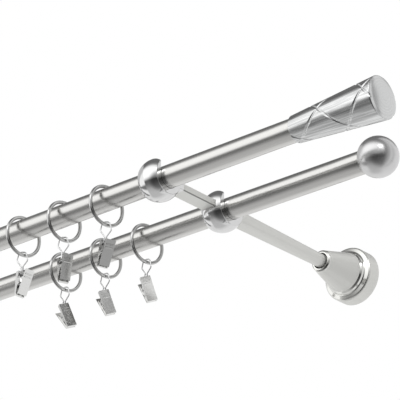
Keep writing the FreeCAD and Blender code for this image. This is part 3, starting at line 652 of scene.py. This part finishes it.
# Directions of a spring's legs in the axes of its clip
FRONT_LEG = np.array((0.0, -0.42, 1.0))
BACK_LEG = np.array((0.0, 0.62, 0.68))
# Points of the path in one turn of the coil and in a leg, points round the wire, and the length of the
# coil's line as a share of its turns laid side by side
TURN_POINTS = 28
LEG_POINTS = 8
WIRE_SIDES = 10
COIL_SHARE = 0.9


def spring_path(tail, settings):
    """Line of a clip's spring in the frame of the part.

    The coil is a circle about the pin whose place along the pin grows evenly with the angle. Each end
    leaves the coil in a straight leg, one up the front jaw and one up the back jaw.
    """
    radius = (settings.coil - settings.wire) / 2
    half = settings.wire * settings.turns / 2
    angle = np.linspace(0, 2 * np.pi * (settings.turns - 0.5), settings.turns * TURN_POINTS)
    across = np.linspace(-half, half, len(angle)) * COIL_SHARE
    coil = np.stack([across, radius * np.cos(angle + np.pi), radius * np.sin(angle + np.pi)], axis=1)
    leg = np.linspace(0, settings.leg, LEG_POINTS)[1:, None]
    first = coil[0] + leg * FRONT_LEG
    last = coil[-1] + leg * BACK_LEG
    local = np.concatenate([first[::-1], coil, last])
    axes = clip_axes(tail)
    return np.array(joint("squeeze_" + tail)["pos_m"]) + local @ axes.T


# Rounding of a tube's inner and outer edges in millimetres
POLE_ROUNDINGS = (0.1, 0.1, 0.2, 0.2)
# Outline of a rose in millimetres, as pairs of the place along Y and the radius, with the rounding of
# each corner
ROSE_OUTLINE = (
    (0, 20.79), (-10.6, 20.79), (-11.5, 19.9), (-12.4, 17.3), (-13, 16.7), (-14.6, 16.3), (-15.8, 15.2),
    (-42.8, 8.2), (-43.6, 6.9), (-43.6, 6.1), (-41.7, 6), (-14.05, 13.3), (-9.65, 18.9), (0, 18.9),
)
ROSE_ROUNDINGS = (0.2, 0.9, 0.8, 0.2, 0.3, 0.8, 0.3, 0.4, 0.6, 0.1, 0, 0, 0, 0.2)


# Operators, one for each piece or group of like pieces

class PoleFinish(bpy.types.Operator):
    """Give both poles their satin steel."""
    bl_idname = "curtain_pole.poles"
    bl_label = "Poles"

    def execute(self, context):
        scene = context.scene
        sizes = scene.pole_sizes
        satin = drawn_metal("satin_tube", scene.pole_finish.tube_colour, 0.24,
                            scales=(2.5, 520.0, 520.0), depth=0.04)
        outer = sizes.diameter / 2
        right = sizes.overhang
        left = sizes.overhang - sizes.length
        inner = outer - sizes.wall
        outline = ((left, inner), (right, inner), (right, outer), (left, outer))
        profile = split_long(round_profile(outline, POLE_ROUNDINGS, steps=2), POLE_STEP)
        for node in ("front_pole", "rear_pole"):
            points = turned_points(profile, 0, POLE_SIDES) * MM + (0, middle_of(node)[1], 0)
            stand_in(finish_mesh(grid_object(node + "_tube", points, satin)), node)
        return {"FINISHED"}


class BracketFinish(bpy.types.Operator):
    """Give the cups, the arms and the roses their finishes."""
    bl_idname = "curtain_pole.brackets"
    bl_label = "Brackets"

    def execute(self, context):
        colours = context.scene.pole_finish
        polished = plated_metal("polished_cup", colours.cup_colour, 0.1)
        give(both("front_cup") + both("rear_cup"), polished)
        profile = split_long(round_profile(ROSE_OUTLINE, ROSE_ROUNDINGS), ROSE_STEP)
        points = turned_points(profile, 1, ROSE_SIDES) * MM
        for side in SIDES:
            for name in (side + "_front_arm", side + "_rear_arm"):
                low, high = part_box(name)
                give(nodes_named(name), arm_metal(name + "_metal", colours.arm_colour, high[0], low[2]))
            centre = middle_of(side + "_rose") * (1, 0, 1)
            metal = rose_metal(side + "_rose_metal", colours.rose_colour, centre)
            item = finish_mesh(grid_object(side + "_rose_cover", points + centre, metal))
            stand_in(item, side + "_rose")
        return {"FINISHED"}


class WallPartFinish(bpy.types.Operator):
    """Give the wall plates, the arm bolts and the grub screws their finishes."""
    bl_idname = "curtain_pole.wall_parts"
    bl_label = "Wall parts"

    def execute(self, context):
        colours = context.scene.pole_finish
        zinc = plated_metal("zinc_plate", colours.zinc_colour, 0.4, depth=0.2)
        give(both("wall_plate") + both("arm_bolt"), zinc)
        black = plated_metal("black_screw", colours.screw_colour, 0.35, depth=0.2)
        give(both("rose_grub_screw"), black)
        return {"FINISHED"}


class FinialFinish(bpy.types.Operator):
    """Give the grooved cones and the balls their finishes."""
    bl_idname = "curtain_pole.finials"
    bl_label = "Finials"

    def execute(self, context):
        colours = context.scene.pole_finish
        sizes = context.scene.cone_sizes
        pole = context.scene.pole_sizes
        reach = (pole.length / 2 + sizes.length - sizes.cap - sizes.edge / 2) * MM
        metal = cone_metal("cone_metal", colours.cone_colour, middle_of("front_pole"), reach)
        grid = cone_points(sizes, pole.diameter / 2 + sizes.play) * MM
        ends = {"right": (pole.overhang, 1), "left": (pole.overhang - pole.length, -1)}
        for side, (end, way) in ends.items():
            points = grid * (way, way, 1) + (end * MM, middle_of("front_pole")[1], 0)
            item = finish_mesh(grid_object(side + "_grooved_cone", points, metal, closed_along=False))
            stand_in(item, side + "_cone_finial")
        satin = turned_metal("ball_metal", colours.ball_colour, 0.29, middle_of("rear_pole"), 0)
        give(both("ball_finial"), satin)
        return {"FINISHED"}


class RingFinish(bpy.types.Operator):
    """Give the rings, hangers and pins their nickel."""
    bl_idname = "curtain_pole.rings"
    bl_label = "Rings"

    def execute(self, context):
        colours = context.scene.pole_finish
        sizes = context.scene.ring_sizes
        nickel = plated_metal("nickel_ring", colours.ring_colour, 0.12)
        inner = sizes.bore / 2
        outer = inner + sizes.height
        half = sizes.width / 2
        profile = round_profile(((-half, inner), (half, inner), (half, outer), (-half, outer)),
                                (sizes.inner_corner, sizes.inner_corner, sizes.corner, sizes.corner))
        grid = turned_points(profile, 0, RING_SIDES) @ rotation_about((0, 0, 1), -sizes.turn).T * MM
        for tail in SETS:
            item = grid_object("nickel_ring_" + tail, grid + middle_of("ring_" + tail), nickel)
            stand_in(finish_mesh(item), "ring_" + tail, "ring_body_" + tail)
        give(every("hanger") + every("clip_pin"), plated_metal("nickel_wire", colours.wire_colour, 0.16))
        return {"FINISHED"}


class ClipFinish(bpy.types.Operator):
    """Give both jaws of each clip their plated sheet."""
    bl_idname = "curtain_pole.clips"
    bl_label = "Clips"

    def execute(self, context):
        colours = context.scene.pole_finish
        plated = plated_metal("nickel_clip", colours.clip_colour, 0.14, depth=0.3, waviness=130.0)
        give(every("front_jaw") + every("back_jaw"), plated)
        return {"FINISHED"}


class ClipSprings(bpy.types.Operator):
    """Coil the springs of the clips round their pins."""
    bl_idname = "curtain_pole.springs"
    bl_label = "Springs"

    def execute(self, context):
        settings = context.scene.pole_springs
        steel = plated_metal("spring_wire", context.scene.pole_finish.spring_colour, 0.3)
        for tail in SETS:
            points = tube_points(spring_path(tail, settings), settings.wire / 2, WIRE_SIDES)
            spring = grid_object("spring_coil_" + tail, points, steel, closed_along=False)
            pin = np.array(joint("squeeze_" + tail)["pos_m"])
            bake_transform(spring)
            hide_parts("clip_spring_" + tail)
        return {"FINISHED"}


class Studio(bpy.types.Operator):
    """Set up the floor, the lamps, the room that the metal reflects and the camera."""
    bl_idname = "curtain_pole.studio"
    bl_label = "Studio"

    def execute(self, context):
        settings = context.scene.pole_studio
        make_floor(settings)
        make_room(context, settings)
        for name, place, target, size, power in LAMPS:
            make_lamp(name, place, target, size, getattr(settings, power))
        make_camera(context)
        return {"FINISHED"}


# Each lamp: name, place, the point it faces, size and the setting of its power
LAMPS = (
    ("key_lamp", (-0.35, -0.9, 1.3), (-0.1, -0.2, 0.0), (1.6, 0.7), "key_power"),
    ("fill_lamp", (-1.5, -1.0, 0.1), (0.0, -0.2, 0.0), (0.8, 0.8), "fill_power"),
)
FLOOR_SIZE = 14.0
FLOOR_GREY = 0.8
FLOOR_GLOW = 0.5

# The room that the metal mirrors. Bands round the poles' direction, at half of their brightness: 0 is
# the back, 0.25 straight down, 0.5 the front and 0.75 straight up
ROOM_BANDS = (
    (0.0, 0.50), (0.13, 0.52), (0.175, 0.44), (0.20, 0.36), (0.245, 0.35), (0.28, 0.34), (0.314, 0.32),
    (0.347, 0.28), (0.38, 0.19), (0.411, 0.12), (0.45, 0.08), (0.462, 0.10), (0.485, 0.45), (0.508, 0.75),
    (0.54, 0.8), (0.62, 0.8), (0.65, 0.65), (0.685, 0.2), (0.72, 0.1), (0.885, 0.09), (0.905, 0.45),
    (0.93, 0.50),
)
# The same at the far left of the room, which the cones mirror, and the ramp of X at which it begins
FAR_BANDS = (
    (0.0, 0.50), (0.20, 0.48), (0.24, 0.48), (0.262, 0.58), (0.315, 0.56), (0.335, 0.34), (0.355, 0.14),
    (0.40, 0.12), (0.42, 0.4), (0.44, 0.66), (0.60, 0.66), (0.63, 0.5), (0.66, 0.36), (0.885, 0.34),
    (0.905, 0.45),
)
FAR_RAMP = (-0.735, -0.68)
# Bands of the wall on the right, by the angle round the upright from +X towards +Y. They cover
# WALL_SPAN degrees, and WALL_START is the place of +X in them. The wall shows between two ramps
WALL_BANDS = (
    (0.0, 0.5), (0.04, 0.3), (0.06, 0.05), (0.14, 0.07), (0.18, 0.18), (0.25, 0.22), (0.33, 0.26),
    (0.43, 0.5), (0.49, 0.5), (0.52, 0.2), (0.565, 0.2), (0.60, 0.5), (1.0, 0.47),
)
WALL_SPAN = 120.0
WALL_START = 0.25
WALL_BEGINS = (-22.0, -18.0)
WALL_ENDS = (70.0, 90.0)
# The dark patch round the lens: its direction, the ramp of the cosine of the angle to it, and the
# share of the light that it takes
LENS_WAY = (0.595, -0.682, -0.425)
LENS_RAMP = (0.45, 0.88)
LENS_SHADE = 0.72
# The soft light that the balls mirror: its direction, its ramp and its level
SOFTBOX_WAY = (0.65, -0.49, 0.581)
SOFTBOX_RAMP = (0.984, 0.993)
SOFTBOX_LEVEL = 2.2
BAND_STRENGTH = 2.0


def make_floor(settings):
    """Pale floor far below the poles: white to the camera, and absent for the metal's reflections."""
    finish = Finish(bpy.data.materials.new("pale_floor"))
    plain = finish.node("ShaderNodeBsdfDiffuse", values={"Color": grey(FLOOR_GREY)})
    glow = finish.node("ShaderNodeEmission", values={"Color": grey(1.0), "Strength": FLOOR_GLOW})
    bright = finish.node("ShaderNodeAddShader", values={0: plain, 1: glow})
    seen = finish.either(finish.ray_is("Camera"), plain, bright)
    clear = finish.node("ShaderNodeBsdfTransparent")
    surface = finish.either(finish.ray_is("Glossy"), seen, clear)
    finish.node("ShaderNodeOutputMaterial", values={"Surface": surface})
    bpy.ops.mesh.primitive_plane_add(size=FLOOR_SIZE, location=(0, 0, -settings.floor_drop))
    floor = bpy.context.object
    floor.name = "studio_floor"
    floor.data.materials.append(finish.owner)


def make_room(context, settings):
    """World that is white to the camera, and to the metal a room with light and dark bands.

    The bands depend on the angle round the poles' direction. A wall on the right covers them, with
    bands that depend on the angle round the upright, and a soft light hangs before it. The room is
    darker round the lens.
    """
    world = bpy.data.worlds.new("studio_room")
    context.scene.world = world
    room = Finish(world)
    x, y, z = room.parts(room.node("ShaderNodeTexCoord", output="Generated"))

    def towards(way):
        """Cosine of the angle between the direction that is mirrored and another."""
        return x * way[0] + y * way[1] + z * way[2]

    turn = z.angle_from(y * -1.0) / (2 * math.pi) + 0.5
    compass = y.angle_from(x) * (180 / math.pi)
    seen = room.mix(1.0 - x.step(*FAR_RAMP), room.ramp(turn, ROOM_BANDS), room.ramp(turn, FAR_BANDS))
    seen = room.mix(towards(LENS_WAY).step(*LENS_RAMP) * LENS_SHADE, seen, grey(0.0))
    wall = room.ramp(compass / WALL_SPAN + WALL_START, WALL_BANDS)
    seen = room.mix(compass.step(*WALL_BEGINS) - compass.step(*WALL_ENDS), seen, wall)
    seen = room.mix(towards(SOFTBOX_WAY).step(*SOFTBOX_RAMP), seen, grey(SOFTBOX_LEVEL))
    mirrored, plain, white = (
        room.node("ShaderNodeBackground", values={"Color": colour, "Strength": strength})
        for colour, strength in ((seen, BAND_STRENGTH), (grey(1.0), settings.world_level),
                                 (grey(1.0), 1.0)))
    lit = room.either(room.ray_is("Glossy"), plain, mirrored)
    surface = room.either(room.ray_is("Camera"), lit, white)
    room.node("ShaderNodeOutputWorld", values={"Surface": surface})


def make_lamp(name, place, target, size, power):
    """Flat lamp that lights the part and stays out of its reflections."""
    lamp = bpy.data.lights.new(name, "AREA")
    lamp.shape = "RECTANGLE"
    lamp.size, lamp.size_y = size
    lamp.energy = power
    item = bpy.data.objects.new(name, lamp)
    item.location = place
    item.rotation_euler = (Vector(target) - Vector(place)).to_track_quat("-Z", "Y").to_euler()
    item.visible_glossy = False
    bpy.context.scene.collection.objects.link(item)


# The photograph's camera: its place, the directions to its right and behind it, and its focal length
# and width in pixels
CAMERA_PLACE = (0.8283, -1.1270, -0.5907)
CAMERA_RIGHT = (0.7565, 0.6540, 0.0095)
CAMERA_BACK = (0.5951, -0.6822, -0.4247)
PHOTO_FOCUS = 2037.55
PHOTO_WIDTH = 400.0
SENSOR_WIDTH = 36.0
CAMERA_REACH = 50.0


def make_camera(context):
    """Camera of the photograph, which looks up at the poles from the front and the right."""
    camera = bpy.data.cameras.new("photo_camera")
    camera.sensor_width = SENSOR_WIDTH
    camera.lens = SENSOR_WIDTH * PHOTO_FOCUS / PHOTO_WIDTH
    camera.clip_end = CAMERA_REACH
    item = bpy.data.objects.new("photo_camera", camera)
    across = Vector(CAMERA_RIGHT).normalized()
    back = Vector(CAMERA_BACK).normalized()
    up = back.cross(across).normalized()
    across = up.cross(back)
    turn = Matrix((across, up, back)).transposed()
    item.matrix_world = Matrix.Translation(CAMERA_PLACE) @ turn.to_4x4()
    context.scene.collection.objects.link(item)
    context.scene.camera = item


# The panel and the run

OPERATORS = (PoleFinish, BracketFinish, WallPartFinish, FinialFinish, RingFinish, ClipFinish,
             ClipSprings, Studio)
SETTINGS = (("pole_studio", StudioSettings), ("pole_finish", FinishSettings),
            ("pole_springs", SpringSettings), ("pole_sizes", PoleSizes), ("cone_sizes", ConeSizes),
            ("ring_sizes", RingSizes))


class PolePanel(bpy.types.Panel):
    """Lists the operators and settings of the curtain pole."""
    bl_idname = "VIEW3D_PT_curtain_pole"
    bl_label = "Curtain pole"
    bl_space_type = "VIEW_3D"
    bl_region_type = "UI"
    bl_category = "Curtain pole"

    def draw(self, context):
        for operator in OPERATORS:
            self.layout.operator(operator.bl_idname)
        for name, group in SETTINGS:
            for key in group.__annotations__:
                self.layout.prop(getattr(context.scene, name), key)


def register():
    for name, group in SETTINGS:
        bpy.utils.register_class(group)
        setattr(bpy.types.Scene, name, PointerProperty(type=group))
    for entry in OPERATORS + (PolePanel,):
        bpy.utils.register_class(entry)


def unregister():
    for entry in OPERATORS + (PolePanel,):
        bpy.utils.unregister_class(entry)
    for name, group in SETTINGS:
        delattr(bpy.types.Scene, name)
        bpy.utils.unregister_class(group)


def main():
    """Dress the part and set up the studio."""
    register()
    scene = bpy.context.scene
    scene.view_settings.view_transform = "Standard"
    for operator in OPERATORS:
        group, name = operator.bl_idname.split(".")
        getattr(getattr(bpy.ops, group), name)()


if __name__ == "__main__":
    main()
